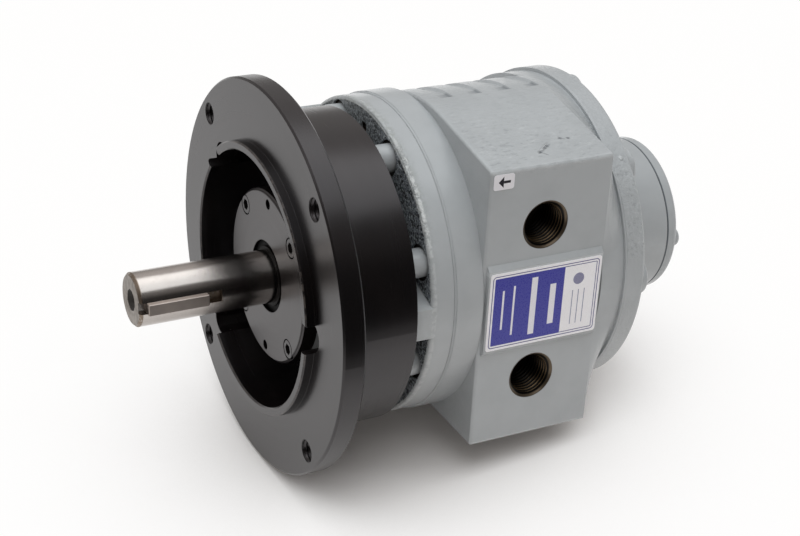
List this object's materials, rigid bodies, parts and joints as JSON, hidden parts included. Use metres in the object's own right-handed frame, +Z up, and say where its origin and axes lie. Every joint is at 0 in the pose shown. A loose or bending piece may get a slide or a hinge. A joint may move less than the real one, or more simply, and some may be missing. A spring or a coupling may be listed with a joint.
{
  "type": "air vane motor",
  "caption": "Rotary vane air motor with a C-face mounting adaptor, a keyed output shaft and two threaded air ports side by side in a flat port face.",
  "frame": {"origin": "centre of the adaptor's mounting face, on the shaft's axis", "axes": "+X along the shaft, out of the front; +Y out of the port face; +Z up, so the ports are above each other"},
  "size_m": [0.2452, 0.165, 0.165],
  "materials": {
    "adaptor_black": "satin",
    "dark_screws": "satin",
    "grey_paint": "semi-gloss",
    "painted_screws": "semi-gloss",
    "cap_metal": "satin",
    "seal_rubber": "matte",
    "bearing_steel": "polished",
    "rotor_iron": "machined",
    "shaft_steel": "ground",
    "key_steel": "satin",
    "vane_composite": "matte",
    "nameplate_print": "gloss",
    "tag_print": "gloss"
  },
  "bodies": {
    "housing": {"adaptor": "adaptor_black", "adaptor_screws": "dark_screws", "drive_end_plate": "grey_paint", "seal_cap": "cap_metal", "seal_cap_screws": "dark_screws", "shaft_seal": "seal_rubber", "body": "grey_paint", "front_body_screws": "painted_screws", "dead_end_plate": "grey_paint", "rear_body_screws": "painted_screws", "dowel_pins": "bearing_steel", "rear_cap": "grey_paint", "rear_cap_screws": "painted_screws", "spring_washer": "bearing_steel", "drive_bearing_outer_race": "bearing_steel", "drive_bearing_balls": "bearing_steel", "rear_bearing_outer_race": "bearing_steel", "rear_bearing_balls": "bearing_steel", "nameplate": "nameplate_print", "corner_tag": "tag_print"},
    "rotor_assembly": {"shaft": "shaft_steel", "shaft_key": "key_steel", "retaining_ring": "bearing_steel", "drive_bearing_inner_race": "bearing_steel", "rear_bearing_inner_race": "bearing_steel", "rotor": "rotor_iron", "vane_1": "vane_composite", "vane_2": "vane_composite", "vane_3": "vane_composite", "vane_4": "vane_composite", "vane_5": "vane_composite", "vane_6": "vane_composite", "vane_7": "vane_composite", "vane_8": "vane_composite"}
  },
  "joints": [
    {"name": "shaft_spin", "type": "hinge", "parent": "housing", "child": "rotor_assembly", "pos_m": [0, 0, 0], "axis": [1, 0, 0], "continuous": true}
  ]
}
